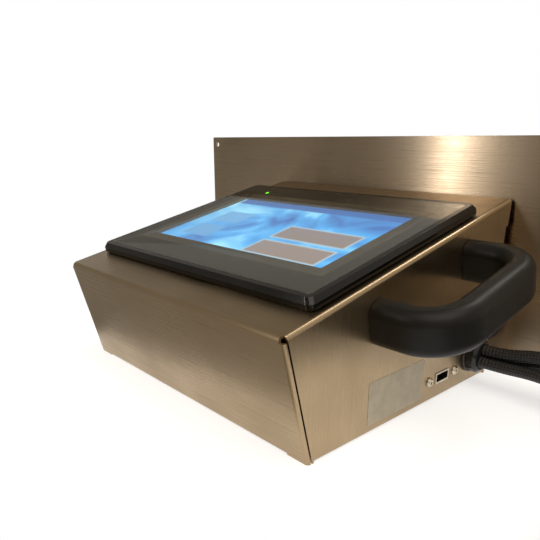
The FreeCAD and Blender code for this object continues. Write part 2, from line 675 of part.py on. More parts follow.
# ---------------------------------------------------------------- panel socket
def usb_housing():
    """Moulded socket body behind the panel, with ears for its two screws."""
    back = SOCKET - X * SHEET
    ears = slab(back - X * USB_EAR, Y, Z, USB_SCREW_SPACING + 10, USB_HEIGHT + 5, USB_EAR, 2.0)
    body = slab(back - X * USB_DEPTH, Y, Z, USB_WIDTH + 4, USB_HEIGHT + 4, USB_DEPTH, 1.0)
    bore = slab(back - X * (USB_DEPTH - 2), Y, Z, USB_WIDTH, USB_HEIGHT, USB_DEPTH)
    holes = [rod(place - X * (SHEET + USB_EAR), X, USB_SCREW / 2 + 0.2, USB_EAR) for place in usb_screw_places()]
    return join([ears, body]).cut(bore).cut(Part.makeCompound(holes))


def usb_shell():
    depth = USB_DEPTH + SHEET - 2
    outer = slab(SOCKET - X * depth, Y, Z, USB_WIDTH, USB_HEIGHT, depth, 0.5)
    return outer.cut(slab(SOCKET - X * (depth - USB_SHELL), Y, Z, USB_WIDTH - 2 * USB_SHELL,
                          USB_HEIGHT - 2 * USB_SHELL, depth))


def usb_tongue():
    depth = USB_DEPTH + SHEET - 2 - USB_SHELL
    return slab(SOCKET - X * depth + Z * 1.0, Y, Z, USB_WIDTH - 2.4, 1.8, depth - 2.0)


def usb_screws():
    """Domed screws through the panel and the socket's ears."""
    pieces = []
    for place in usb_screw_places():
        dome = join([rod(place, X, USB_SCREW * 0.95, 0.9),
                     cone(place + X * 0.9, X, USB_SCREW * 0.95, USB_SCREW * 0.6, 1.0)])
        shank = rod(place - X * (SHEET + USB_EAR + 3.6), X, USB_SCREW / 2, SHEET + USB_EAR + 3.6)
        pieces.append(join([dome, shank]).cut(hexagon(place + X * 0.9, X, 1.9, 1.5)))
    return group(pieces)


def usb_nuts():
    return group([hexagon(place - X * (SHEET + USB_EAR + 2.4), X, 5.5, 2.4)
                  .cut(rod(place - X * 20, X, USB_SCREW / 2 + RUNNING, 20)) for place in usb_screw_places()])


# ---------------------------------------------------------------- cable gland
def strand_radius():
    """The cables' centres from the gland's axis, for three that almost touch."""
    return (CABLE + STRAND_GAP) / math.sqrt(3)


def strand_places():
    """Upper, rear and front cable in the gland, as steps from its axis."""
    return [Vector(0, strand_radius() * cosd(angle), strand_radius() * sind(angle)) for angle in (90, -30, 210)]


def gland_bore():
    return GLAND_THREAD / 2 - GLAND_WALL


def gland_inner_end():
    return GLAND - X * (SHEET + GLAND_NUT + 2.0)


def gland_body():
    """Rim outside the panel and a threaded tube through it."""
    inner = gland_inner_end()
    rim = rod(GLAND, X, GLAND_DIAMETER / 2, GLAND_RIM)
    rim = rim.makeChamfer(0.7, [edge for edge in rim.Edges if edge.CenterOfMass.x > GLAND.x + 1])
    thread = rod(inner, X, GLAND_THREAD / 2, GLAND.x - inner.x)
    return join([rim, thread]).cut(rod(inner, X, gland_bore(), 40))


def gland_cap():
    """Domed clamping cap with grip flutes."""
    start = GLAND + X * GLAND_RIM
    body = rod(start, X, GLAND_CAP / 2, GLAND_CAP_LENGTH)
    body = body.makeChamfer(1.8, [edge for edge in body.Edges if edge.CenterOfMass.x > start.x + 1])
    flutes = [rod(start + Vector(-1, (GLAND_CAP / 2 + 0.7) * cosd(30 * k), (GLAND_CAP / 2 + 0.7) * sind(30 * k)),
                  X, 1.3, GLAND_CAP_LENGTH - 1.2) for k in range(12)]
    return body.cut(Part.makeCompound(flutes)).cut(rod(start, X, gland_bore(), GLAND_CAP_LENGTH))


def gland_seal():
    """Rubber insert with a hole for each cable."""
    inner = gland_inner_end()
    body = rod(inner, X, gland_bore(), GLAND_FACE - inner.x)
    holes = [rod(inner + step, X, CABLE / 2 - 0.3, 40) for step in strand_places()]
    return body.cut(Part.makeCompound(holes))


def gland_locknut():
    start = GLAND - X * (SHEET + GLAND_NUT)
    return hexagon(start, X, GLAND_NUT_ACROSS, GLAND_NUT).cut(rod(start, X, GLAND_THREAD / 2 + RUNNING, GLAND_NUT))


# ---------------------------------------------------------------- hinge, back plate, buffers
def knuckle_spans(first):
    """The x ranges of every second knuckle."""
    pitch = HINGE_WIDTH / HINGE_PARTS
    return [(-HINGE_WIDTH / 2 + k * pitch + (HINGE_GAP / 2 if k else 0),
             pitch - HINGE_GAP / 2 - (HINGE_GAP / 2 if 0 < k < HINGE_PARTS - 1 else 0))
            for k in range(first, HINGE_PARTS, 2)]


def knuckles(first, radius):
    return [rod(HINGE + X * start, X, radius, length) for start, length in knuckle_spans(first)]


def hinge_leaf(blade, own, other):
    """A leaf with its knuckles, cut back round the other leaf's knuckles and bored for the pin."""
    clear = [rod(HINGE + X * (start - HINGE_GAP), X, HINGE_KNUCKLE / 2 + HINGE_GAP, length + 2 * HINGE_GAP)
             for start, length in knuckle_spans(other)]
    body = join([blade.cut(Part.makeCompound(clear))] + knuckles(own, HINGE_KNUCKLE / 2))
    bore = rod(HINGE - X * HINGE_WIDTH, X, HINGE_PIN / 2 + RUNNING, 2 * HINGE_WIDTH)
    return body.cut(bore)


def rivet_places():
    return [Vector(x, PLATE_FRONT, HINGE.z - RIVET_DROP) for x in (-RIVET_X, 0, RIVET_X)]


def hinge_leaf_cover():
    """Leaf welded under the top panel."""
    middle = HINGE + TOP_NORMAL * (HINGE_KNUCKLE / 2) - UP_SLOPE * (HINGE_LEAF_DEPTH / 2)
    blade = slab(middle - TOP_NORMAL * HINGE_LEAF, X, UP_SLOPE, HINGE_WIDTH, HINGE_LEAF_DEPTH, HINGE_LEAF)
    return hinge_leaf(blade, 0, 1)


def hinge_leaf_plate():
    """Leaf riveted to the back plate."""
    middle = Vector(0, PLATE_FRONT, HINGE.z - HINGE_LEAF_DEPTH / 2)
    blade = slab(middle, X, Z, HINGE_WIDTH, HINGE_LEAF_DEPTH, HINGE_LEAF)
    holes = [rod(place - Y * 10, Y, RIVET / 2 + RUNNING, 20) for place in rivet_places()]
    return hinge_leaf(blade, 1, 0).cut(Part.makeCompound(holes))


def hinge_pin():
    return rod(HINGE - X * HINGE_WIDTH / 2, X, HINGE_PIN / 2, HINGE_WIDTH)


def hinge_rivets():
    """Domed inside, countersunk flush at the back."""
    pieces = []
    for place in rivet_places():
        front = place - Y * HINGE_LEAF
        head = cone(front, Y * -1, RIVET * 0.9, RIVET * 0.6, 1.2)
        shank = rod(front, Y, RIVET / 2, HINGE_LEAF + PLATE_THICKNESS)
        sunk = cone(place + Y * PLATE_THICKNESS, Y * -1, RIVET * 0.85, RIVET / 2, 1.3)
        pieces.append(join([head, shank, sunk]))
    return group(pieces)


def plate_hole_places():
    return [Vector(i * (PLATE_WIDTH / 2 - PLATE_HOLE_EDGE), PLATE_FRONT, z) for i in (-1, 1)
            for z in (PLATE_BOTTOM + PLATE_HOLE_EDGE, PLATE_TOP - PLATE_HOLE_EDGE)]


def back_plate():
    height = PLATE_TOP - PLATE_BOTTOM
    centre = Vector(0, PLATE_FRONT + PLATE_THICKNESS, (PLATE_TOP + PLATE_BOTTOM) / 2)
    body = slab(centre, X, Z, PLATE_WIDTH, height, PLATE_THICKNESS, PLATE_CORNER)
    holes = [rod(place - Y, Y, PLATE_HOLE / 2, 2 * PLATE_THICKNESS) for place in plate_hole_places()]
    for place in rivet_places():
        holes.append(rod(place - Y, Y, RIVET / 2 + RUNNING, 2 * PLATE_THICKNESS))
        holes.append(cone(place + Y * PLATE_THICKNESS, Y * -1, RIVET * 0.85 + RUNNING, RIVET / 2 + RUNNING, 1.3))
    return body.cut(Part.makeCompound(holes))


def buffers():
    """Domed rubber buffers on the rear flanges; the domes end just short of the plate."""
    pieces = []
    for side in (-1, 1):
        seat = buffer_seat(side)
        reach = (PLATE_FRONT - BUFFER_CLEAR - seat.y) / REAR_NORMAL.y
        dome = 2.0
        base = cone(seat, REAR_NORMAL, BUFFER_DIAMETER / 2, BUFFER_DIAMETER / 2 - 1, reach - dome)
        tip = cone(seat + REAR_NORMAL * (reach - dome), REAR_NORMAL, BUFFER_DIAMETER / 2 - 1,
                   BUFFER_DIAMETER / 2 - 4, dome - 0.35)
        stud = rod(seat - REAR_NORMAL * 8, REAR_NORMAL, BUFFER_STUD / 2, 8.5)
        pieces.append(join([base, tip, stud]))
    return group(pieces)


def buffer_nuts():
    return group([hexagon(buffer_seat(side) - REAR_NORMAL * (SHEET + 3.0), REAR_NORMAL, 7.0, 3.0)
                  .cut(rod(buffer_seat(side) - REAR_NORMAL * 9, REAR_NORMAL, BUFFER_STUD / 2 + RUNNING, 9))
                  for side in (-1, 1)])


# ---------------------------------------------------------------- wiring inside the cover
def lead_end(across, length):
    """The cable end of a connector on the terminal case."""
    return on_terminal(across, CONNECTOR_UP, -CASE_DEPTH - length)


def lead_steps(start, end, via):
    """Points between a lead's ends: shares of the way across and along from the end, and a height."""
    return [Vector(end.x + across * (start.x - end.x), end.y + along * (start.y - end.y), height)
            for across, along, height in via]


def inner_lead(strand, via, across, length, name):
    """From the gland's inner end, along the base, up into a connector."""
    start = gland_inner_end() + strand_places()[strand]
    end = lead_end(across, length)
    return tube([start] + lead_steps(start, end, via) + [end - TOP_NORMAL * 14, end], LEAD, name)


def power_lead():
    return inner_lead(0, [(0.92, 1.0, 24), (0.778, 0.958, 20), (0.585, 0.813, 13), (0.379, 0.606, 9.5),
                          (0.186, 0.377, 8.5), (0.058, 0.19, 12)], POWER_X, POWER_BLOCK, "power_lead")


def data_lead():
    return inner_lead(2, [(0.866, 0.993, 16), (0.7, 0.899, 10), (0.479, 0.667, 7), (0.24, 0.379, 5.9),
                          (0.055, 0.169, 5.9)], DATA_X, SOCKET_OUT + DATA_PLUG, "data_lead")


def network_lead():
    return inner_lead(1, [(0.794, 0.996, 17), (0.567, 0.941, 13), (0.369, 0.758, 14), (0.227, 0.535, 13),
                          (0.099, 0.312, 9), (0.028, 0.15, 8)],
                      NETWORK_X, SOCKET_OUT + NETWORK_PLUG, "network_lead")


def usb_lead():
    start = SOCKET - X * (SHEET + USB_DEPTH)
    end = lead_end(USB_LEAD_X, USB_LEAD_PLUG)
    via = [(0.478, 0.904, 14), (0.209, 0.664, 12.5), (0.045, 0.391, 12), (0, 0.183, 13.5)]
    return tube([start, start - X * 8] + lead_steps(start, end, via) + [end - TOP_NORMAL * 10, end], LEAD,
                "usb_lead")


# ---------------------------------------------------------------- cables outside, with coils and plugs
class Cable:
    """A cable from the gland to its coil: route points, then the coil's entry, heading, hand and turns.

    The points of the route and the entry are steps from the gland's place on the side panel.
    """

    def __init__(self, strand, route, entry, heading, hand, tail_turn, turns=COIL_TURNS):
        self.start = Vector(GLAND_FACE, 0, 0) + Vector(0, GLAND.y, GLAND.z) + strand_places()[strand]
        base = Vector(GLAND.x, GLAND.y, 0)
        self.route = [base + Vector(*point) for point in route]
        self.ahead = Vector(cosd(heading), sind(heading), 0)
        self.entry = base + Vector(entry[0], entry[1], TIE + CABLE / 2 + 2 * CABLE_REST)
        self.inward = Vector(-self.ahead.y, self.ahead.x, 0) * hand
        self.centre = self.entry + self.inward * COIL_RADIUS
        self.rise = turns * (CABLE + TURN_GAP)
        leaving = heading + hand * 360 * (turns - COIL_TURNS)
        self.away = Vector(cosd(leaving), sind(leaving), 0)
        self.aside = Vector(-self.away.y, self.away.x, 0)
        self.exit = self.centre - self.aside * (hand * COIL_RADIUS) + Z * self.rise
        self.tail_turn = tail_turn

    def lead_points(self):
        last_run = [self.entry - self.ahead * (STUB + along) for along in (END_RUN, 0)]
        return [self.start, self.start + X * END_RUN] + self.route + last_run

    def tail_points(self):
        """From the top of the coil down to the plug's axis."""
        drop = self.exit.z - PLUG_DIAMETER / 2
        steps = ((STUB, 0, 0), (STUB + 14, 0, 0), (STUB + 34, 0.15, 0.28), (STUB + 56, 0.5, 0.74),
                 (STUB + 75, 0.85, 1.0), (STUB + 88, 1.0, 1.0))
        return [self.exit + self.away * along + self.aside * (self.tail_turn * over) - Z * (drop * down)
                for along, over, down in steps]


CABLES = {
    "a": Cable(0, [(43, 0.6, 29.5), (68, -0.4, 31), (90, -1.2, 22), (108, -1.5, 10)],
               (162, -1.5), 0, -1, -5.0),
    "b": Cable(1, [(44, 6, 23), (68, 9.4, 23.5), (90, 9.4, 16), (108, 8.6, 8)],
               (162, 8.5), 0, 1, 6.0),
    "c": Cable(2, [(44, -3.7, 19.5), (68, -9.5, 19.5), (89, -22, 12.5), (103, -42, 6), (110, -64, 4.4)],
               (111.5, -126), -90, 1, 4.0, COIL_TURNS + 0.25),
}


def cable_lead(cable, name):
    return tube(cable.lead_points(), CABLE, "cable_" + name)


def cable_tail(cable, name):
    return tube(cable.tail_points(), CABLE, "tail_" + name)


def coil_height(cable):
    return cable.rise + CABLE + 2 * CABLE_REST


def coil(cable):
    """Outer shape of the wound turns, with the straight ends that leave it."""
    wound = ring(cable.centre - Z * (CABLE / 2 + CABLE_REST), Z, COIL_RADIUS + CABLE / 2 + CABLE_REST,
                 COIL_RADIUS - CABLE / 2 - CABLE_REST, coil_height(cable))
    entry = rod(cable.entry - cable.ahead * STUB, cable.ahead, CABLE / 2, STUB)
    leaving = rod(cable.exit, cable.away, CABLE / 2, STUB)
    return join([wound, entry, leaving])


def coil_tie(cable):
    """Strap once round the turns, on the side away from their entry."""
    place = cable.centre + cable.inward * COIL_RADIUS
    place.z = 0
    across = CABLE + 2 * TIE_GAP
    high = coil_height(cable) + 2 * CABLE_REST
    outer = slab(place, cable.ahead, Z.cross(cable.ahead), TIE_WIDTH, across + 2 * TIE, high + 2 * TIE)
    return outer.cut(slab(place + Z * TIE, cable.ahead, Z.cross(cable.ahead), 2 * TIE_WIDTH, across, high))


def plug(cable):
    """Round multi-pole connector: sleeve, knurled ring and nose."""
    start, before = cable.tail_points()[-1], cable.tail_points()[-2]
    along = start - before
    along.normalize()
    radius = PLUG_DIAMETER / 2
    profile = [(0, 0), (CABLE / 2 + 1.0, 0), (radius * 0.8, 6), (radius * 0.8, 20), (radius, 21),
               (radius, 33), (radius - 1, 34), (radius * 0.75, 34), (radius * 0.75, PLUG_LENGTH), (0, PLUG_LENGTH)]
    corners = [start + Z * a + along * b for a, b in profile]
    outline = Part.Face(Part.makePolygon(corners + corners[:1]))
    return outline.revolve(start, along, 360)


# ---------------------------------------------------------------- all nodes
PIECES = [cover, base_plate, base_screws, base_nuts, terminal_bezel, touch_film, display_panel, power_lamp,
          terminal_gasket, terminal_case, circuit_board, board_screws, terminal_clamps, clamp_screws,
          power_terminal_block, data_socket, data_plug, network_socket, network_plug, usb_lead_plug, handle,
          handle_washers, handle_screws, usb_housing, usb_shell, usb_tongue, usb_screws, usb_nuts, gland_body,
          gland_cap, gland_seal, gland_locknut, hinge_leaf_cover, hinge_leaf_plate, hinge_pin, hinge_rivets,
          back_plate, buffers, buffer_nuts, power_lead, data_lead, network_lead, usb_lead]


def main():
    nodes = {piece.__name__: piece() for piece in PIECES}
    box = Part.makeCompound(list(nodes.values())).optimalBoundingBox(False, False)
    for name, cable in CABLES.items():
        nodes["cable_" + name] = cable_lead(cable, name)
        nodes["coil_" + name] = coil(cable)
        nodes["tie_" + name] = coil_tie(cable)
        nodes["cable_tail_" + name] = cable_tail(cable, name)
        nodes["plug_" + name] = plug(cable)
    shift = Vector(-(box.XMin + box.XMax) / 2, -(box.YMin + box.YMax) / 2, -box.ZMin)
    print("moved by %.4f %.4f %.4f" % (shift.x, shift.y, shift.z))
    os.makedirs("parts", exist_ok=True)
    for name, shape in nodes.items():
        shape.translate(shift)
        shape.exportStep("parts/%s.step" % name)


main()
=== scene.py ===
"""Looks of the touch-screen operator console: cables, folded steel cover, terminal, handle, back plate.

Metres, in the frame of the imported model: X to the operator's right, Y towards the back plate,
Z up, with the origin under the middle of the console's footprint.
"""
import math

import bpy
from mathutils import Matrix, Vector


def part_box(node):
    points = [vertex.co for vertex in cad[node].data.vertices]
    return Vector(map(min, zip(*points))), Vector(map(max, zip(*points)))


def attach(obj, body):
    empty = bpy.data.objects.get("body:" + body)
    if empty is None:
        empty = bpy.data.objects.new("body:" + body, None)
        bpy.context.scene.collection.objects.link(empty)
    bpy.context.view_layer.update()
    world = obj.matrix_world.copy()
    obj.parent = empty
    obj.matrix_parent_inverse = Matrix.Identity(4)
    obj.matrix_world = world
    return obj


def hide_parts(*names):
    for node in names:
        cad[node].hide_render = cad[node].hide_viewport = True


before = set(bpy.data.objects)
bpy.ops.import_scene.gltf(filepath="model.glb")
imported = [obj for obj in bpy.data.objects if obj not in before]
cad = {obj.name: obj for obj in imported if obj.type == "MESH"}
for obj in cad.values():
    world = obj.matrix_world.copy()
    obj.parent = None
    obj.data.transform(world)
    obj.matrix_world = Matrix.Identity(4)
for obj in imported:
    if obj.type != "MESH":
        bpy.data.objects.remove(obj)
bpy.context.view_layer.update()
bpy.ops.object.select_all(action="DESELECT")

# ---------------------------------------------------------------- camera
# Stands at the operator's right hand, a little above the screen, and looks down along the cover's
# right-hand corner. The lens is about 37 mm on a 36 mm wide sensor.
camera = bpy.data.objects.new("camera", bpy.data.cameras.new("camera"))
bpy.context.scene.collection.objects.link(camera)
bpy.context.scene.camera = camera
camera.data.sensor_width = 36
camera.data.lens = 37.22
camera.data.shift_x = -0.0153
camera.data.shift_y = 0.0773
camera.data.clip_start = 0.01
camera.location = (0.27164, -0.25742, 0.14990)
camera.rotation_euler = [math.radians(angle) for angle in (73.169, -0.225, 47.168)]

# ---------------------------------------------------------------- braided cables
# Three control cables in woven black polyester sleeves. They leave the gland side by side, drop to the
# floor and end in wound coils. The weave gives a fine, slightly glossy diamond grain, with a painted
# highlight on the proud threads.
CABLE = 0.0075                      # diameter over the sleeve
COIL_RADIUS = 0.0385
TURN_RISE = 0.0078
PLUG_AXIS = 0.0085                  # height of a plug that lies on the floor
POINTS_PER_TURN = 16
THREAD = 0.0007                     # one strand of the weave
THREADS_ROUND = 8                   # crossings round the cable


def linear(code, alpha=1.0):
    """An sRGB hex colour as linear RGBA."""
    parts = [int(code[i:i + 2], 16) / 255 for i in (1, 3, 5)]
    return (*[c / 12.92 if c <= 0.04045 else ((c + 0.055) / 1.055) ** 2.4 for c in parts], alpha)


def add(tree, kind, links=None, sockets=None, **settings):
    """Adds one node: its settings, then its input values, then its incoming links."""
    made = tree.nodes.new(kind)
    for name, value in settings.items():
        setattr(made, name, value)
    for name, value in (sockets or {}).items():
        made.inputs[name].default_value = value
    for name, source in (links or {}).items():
        tree.links.new(source, made.inputs[name])
    return made


def finish_named(name, **sockets):
    """A new material with one Principled shader, as (material, tree, shader)."""
    made = bpy.data.materials.new(name)
    made.use_nodes = True
    tree = made.node_tree
    tree.nodes.clear()
    shader = add(tree, "ShaderNodeBsdfPrincipled")
    for socket, value in sockets.items():
        shader.inputs[socket.replace("_", " ")].default_value = value
    add(tree, "ShaderNodeOutputMaterial", {"Surface": shader.outputs[0]})
    return made, tree, shader


def maths(tree, operation, *values):
    """One sum of sockets and plain numbers, as a value."""
    made = add(tree, "ShaderNodeMath", operation=operation)
    for socket, value in zip(made.inputs, values):
        if isinstance(value, (int, float)):
            socket.default_value = value
        else:
            tree.links.new(value, socket)
    return made.outputs[0]


def remapped(tree, value, before, after=(0.0, 1.0)):
    """A value carried from one range to another and held inside it."""
    ends = {"From Min": before[0], "From Max": before[1], "To Min": after[0], "To Max": after[1]}
    return add(tree, "ShaderNodeMapRange", {"Value": value}, ends).outputs[0]


def ramp(tree, source, stops):
    """A colour ramp over a 0-1 value: stops are (position, hex colour or grey)."""
    made = add(tree, "ShaderNodeValToRGB", {"Fac": source})
    elements = made.color_ramp.elements
    while len(elements) < len(stops):
        elements.new(0.5)
    for element, (place, colour) in zip(elements, stops):
        element.position = place
        element.color = linear(colour) if isinstance(colour, str) else (colour, colour, colour, 1)
    return made.outputs["Color"]


def bumped(tree, shader, height, strength, depth):
    """Raises the surface where a value is high; depth is in metres."""
    bump = add(tree, "ShaderNodeBump", {"Height": height}, {"Strength": strength, "Distance": depth})
    tree.links.new(bump.outputs[0], shader.inputs["Normal"])


def woven_sleeve(name, length):
    """Two families of threads that cross round the cable, with a painted highlight where a thread stands
    proud.
    """
    made, tree, shader = finish_named(name, Roughness=0.5)
    uv = add(tree, "ShaderNodeTexCoord").outputs["UV"]
    threads = []
    for lean in (1, -1):
        along = add(tree, "ShaderNodeMapping", {"Vector": uv},
                    {"Scale": (length / (4 * THREAD), THREADS_ROUND * lean, 1)})
        split = add(tree, "ShaderNodeSeparateXYZ", {"Vector": along.outputs[0]}).outputs
        turn = maths(tree, "ADD", split["X"], split["Y"])
        threads.append(maths(tree, "SINE", maths(tree, "MULTIPLY", turn, 2 * math.pi)))
    level = remapped(tree, maths(tree, "MULTIPLY", *threads), (-1.0, 1.0))
    # the palest stop is a painted highlight on the proud threads; the darker stops are the sleeve's own
    # black
    tree.links.new(ramp(tree, level, [(0.0, "#050505"), (0.55, "#0d0c0b"), (1.0, "#3c3934")]),
                   shader.inputs["Base Color"])
    bumped(tree, shader, level, 0.7, 0.0004)
    return made


def cable_run(name, route, heading, hand, tail_turn, turns):
    """One cable's centreline: its route, its coil's turns, and the tail down to the plug."""
    ahead = Vector((math.cos(heading), math.sin(heading), 0))
    inward = Vector((-ahead.y, ahead.x, 0)) * hand
    entry = Vector(route[-1])
    centre = entry + inward * COIL_RADIUS
    reach = COIL_RADIUS / math.cos(math.pi / POINTS_PER_TURN)
    points = [Vector(point) for point in route[:-1]]
    points += [entry - ahead * before for before in (0.0385, 0.0245, 0.008)]
    for step in range(round(turns * POINTS_PER_TURN)):
        turned = (step + 0.5) / POINTS_PER_TURN
        angle = 2 * math.pi * turned
        points.append(centre + (ahead * math.sin(angle) - inward * math.cos(angle)) * reach
                      + Vector((0, 0, TURN_RISE * turned)))
    last = 2 * math.pi * turns
    away = ahead * math.cos(last) + inward * math.sin(last)
    leaving = centre + (ahead * math.sin(last) - inward * math.cos(last)) * COIL_RADIUS
    leaving.z += TURN_RISE * turns
    aside = Vector((-away.y, away.x, 0)) * tail_turn
    drop = Vector((0, 0, leaving.z - PLUG_AXIS))
    for along, over, down in ((0.008, 0, 0), (0.0245, 0, 0), (0.0385, 0, 0), (0.0585, 0.15, 0.28),
                              (0.0805, 0.5, 0.74), (0.0995, 0.85, 1.0), (0.1125, 1.0, 1.0)):
        points.append(leaving + away * along + aside * over - drop * down)
    curve = bpy.data.curves.new(name, "CURVE")
    curve.dimensions = "3D"
    curve.bevel_depth = CABLE / 2
    curve.bevel_resolution = 5
    curve.resolution_u = 6
    spline = curve.splines.new("NURBS")
    spline.points.add(len(points) - 1)
    for made, point in zip(spline.points, points):
        made.co = (*point, 1)
    spline.order_u = 3
    spline.use_endpoint_u = True
    cable = bpy.data.objects.new(name, curve)
    bpy.context.scene.collection.objects.link(cable)
    return cable


CABLES = {                  # route, heading at the coil, its hand, sideways step of the tail, turns, length
    "a": ([(0.1170, 0.06462, 0.02445), (0.1310, 0.06462, 0.02445), (0.151, 0.06522, 0.0295),
           (0.176, 0.06422, 0.031), (0.198, 0.06342, 0.022), (0.216, 0.06312, 0.010),
           (0.270, 0.06312, 0.00485)], 0, -1, -0.005, 3, 1.00),
    "b": ([(0.1170, 0.06847, 0.01778), (0.1310, 0.06847, 0.01778), (0.152, 0.07062, 0.023),
           (0.176, 0.07402, 0.0235), (0.198, 0.07402, 0.016), (0.216, 0.07322, 0.008),
           (0.270, 0.07312, 0.00485)], 0, 1, 0.006, 3, 1.00),
    "c": ([(0.1170, 0.06077, 0.01778), (0.1310, 0.06077, 0.01778), (0.152, 0.06092, 0.0195),
           (0.176, 0.05512, 0.0195), (0.197, 0.04262, 0.0125), (0.211, 0.02262, 0.006),
           (0.218, 0.00062, 0.0044), (0.2195, -0.06138, 0.00485)], -math.pi / 2, 1, 0.004, 3.25, 1.10),
}
for letter, (route, heading, hand, tail_turn, turns, length) in CABLES.items():
    cable = cable_run("control_cable_" + letter, route, heading, hand, tail_turn, turns)
    cable.data.materials.append(woven_sleeve("woven_polyester_sleeve_" + letter, length))
    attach(cable, "console")
    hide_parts("cable_" + letter, "coil_" + letter, "cable_tail_" + letter)

# ---------------------------------------------------------------- folded cover and base plate
# One sheet of 1.5 mm stainless steel, ground to a satin grain and folded over the top, sides and
# front. Grinding leaves fine streaks one way; handling has added smudges and a few hairline scratches.
STREAK = 0.0003                     # width of a grinding streak, drawn about twice as wide
STREAK_LENGTH = 0.045
SMUDGE = 0.045
STEEL_ROUGHNESS = (0.35, 0.24)      # on the darkest and on the palest streaks
SCRATCH_LEAN = math.radians(12)
SCRATCH_SCALE = (22, 1500, 1500)    # long and hair-thin
CUT_EDGE = 0.0003                   # deburred edges of the cut sheet
SAME_POINT = 1e-6
FLAT_WITHIN = math.radians(0.5)     # facets that turn less than this are one face
SHARP_FROM = math.radians(30)       # edges that turn more than this are rounded
SMOOTH_WITHIN = math.radians(35)


def grain(tree, along):
    """Streaks that run along one axis, as a 0-1 value."""
    place = add(tree, "ShaderNodeTexCoord").outputs["Object"]
    scale = [1 / STREAK_LENGTH if axis == along else 1 / STREAK for axis in "XYZ"]
    stretched = add(tree, "ShaderNodeMapping", {"Vector": place}, {"Scale": scale})
    return add(tree, "ShaderNodeTexNoise", {"Vector": stretched.outputs[0]},
               {"Scale": 1.0, "Detail": 3.0, "Roughness": 0.6}).outputs["Fac"]


def mottle(tree, scale, detail, **more):
    """Soft unevenness in the object's own space, as a 0-1 value."""
    place = add(tree, "ShaderNodeTexCoord").outputs["Object"]
    return add(tree, "ShaderNodeTexNoise", {"Vector": place},
               {"Scale": scale, "Detail": detail, **more}).outputs["Fac"]


def ground_stainless(name, dark, light, side_along=None, scratches=0.0, drawn=0.8):
    """Satin-ground stainless steel with its grain along X, and along another axis on the side faces."""
    made, tree, shader = finish_named(name, Metallic=1.0)
    streaks = grain(tree, "X")
    if side_along:
        facing = add(tree, "ShaderNodeSeparateXYZ",
                     {"Vector": add(tree, "ShaderNodeNewGeometry").outputs["Normal"]}).outputs["X"]
        on_side = maths(tree, "GREATER_THAN", maths(tree, "ABSOLUTE", facing), 0.7)
        on_sides = grain(tree, side_along)
        streaks = add(tree, "ShaderNodeMix", {"Factor": on_side, "A": streaks, "B": on_sides},
                      data_type="FLOAT").outputs[0]
    tone = remapped(tree, maths(tree, "ADD", streaks, mottle(tree, 1 / SMUDGE, 2.0)), (0.7, 1.3))
    colour = ramp(tree, tone, [(0.0, dark), (1.0, light)])
    if scratches:
        place = add(tree, "ShaderNodeTexCoord").outputs["Object"]
        turned = add(tree, "ShaderNodeMapping", {"Vector": place},
                     {"Rotation": (0, 0, SCRATCH_LEAN), "Scale": SCRATCH_SCALE})
        hair = add(tree, "ShaderNodeTexNoise", {"Vector": turned.outputs[0]}, {"Scale": 1.0, "Detail": 0.0})
        hair = ramp(tree, hair.outputs["Fac"], [(0.74, 0.0), (0.78, scratches)])
        mix = add(tree, "ShaderNodeMix", {"Factor": hair, "A": colour}, data_type="RGBA")
        mix.inputs[7].default_value = linear("#2a241c")
        colour = mix.outputs[2]
    tree.links.new(colour, shader.inputs["Base Color"])
    tree.links.new(remapped(tree, tone, (0.0, 1.0), STEEL_ROUGHNESS), shader.inputs["Roughness"])
    bumped(tree, shader, streaks, 0.05, 0.0001)
    groove = add(tree, "ShaderNodeCombineXYZ")
    if side_along:
        tree.links.new(on_side, groove.inputs[side_along])
        tree.links.new(maths(tree, "SUBTRACT", 1.0, on_side), groove.inputs["X"])
    else:
        groove.inputs["X"].default_value = 1.0
    surface = add(tree, "ShaderNodeNewGeometry").outputs["Normal"]
    spread = add(tree, "ShaderNodeVectorMath", {0: surface, 1: groove.outputs[0]},
                 operation="CROSS_PRODUCT")
    tree.links.new(spread.outputs[0], shader.inputs["Tangent"])
    shader.inputs["Anisotropic"].default_value = drawn
    return made


def dress(finish, *names):
    """Gives CAD nodes their real finish."""
    for name in names:
        for place in cad[name].material_slots:
            place.material = finish


def softened(node, width, segments=2, reshape=None):
    """A copy of a CAD node with its sharp edges rounded, which then stands for that node."""
    piece = cad[node].copy()
    piece.data = cad[node].data.copy()
    piece.name = node + "_finished"
    for mark in [key for key in piece.keys() if key.startswith("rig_")]:
        del piece[mark]
    piece.parent = None
    bpy.context.scene.collection.objects.link(piece)
    bpy.ops.object.select_all(action="DESELECT")
    piece.select_set(True)
    bpy.context.view_layer.objects.active = piece
    bpy.ops.mesh.customdata_custom_splitnormals_clear()
    bpy.ops.object.mode_set(mode="EDIT")
    bpy.ops.mesh.select_all(action="SELECT")
    bpy.ops.mesh.remove_doubles(threshold=SAME_POINT)
    bpy.ops.mesh.dissolve_limited(angle_limit=FLAT_WITHIN)
    bpy.ops.object.mode_set(mode="OBJECT")
    if reshape:
        reshape(piece.data)
    edges = piece.modifiers.new("deburred", "BEVEL")
    edges.width = width
    edges.segments = segments
    edges.limit_method = "ANGLE"
    edges.angle_limit = SHARP_FROM
    edges.use_clamp_overlap = True
    bpy.ops.object.modifier_apply(modifier=edges.name)
    bpy.ops.object.shade_smooth_by_angle(angle=SMOOTH_WITHIN)
    flats = piece.modifiers.new("flat_faces_stay_flat", "WEIGHTED_NORMAL")
    flats.keep_sharp = True
    flats.weight = 100
    bpy.ops.object.modifier_apply(modifier=flats.name)
    piece.select_set(False)
    return piece


def stand_for(piece, node, body, finish):
    """Puts a finished piece in the place of its CAD node."""
    piece.data.materials.clear()
    piece.data.materials.append(finish)
    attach(piece, body)
    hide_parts(node)


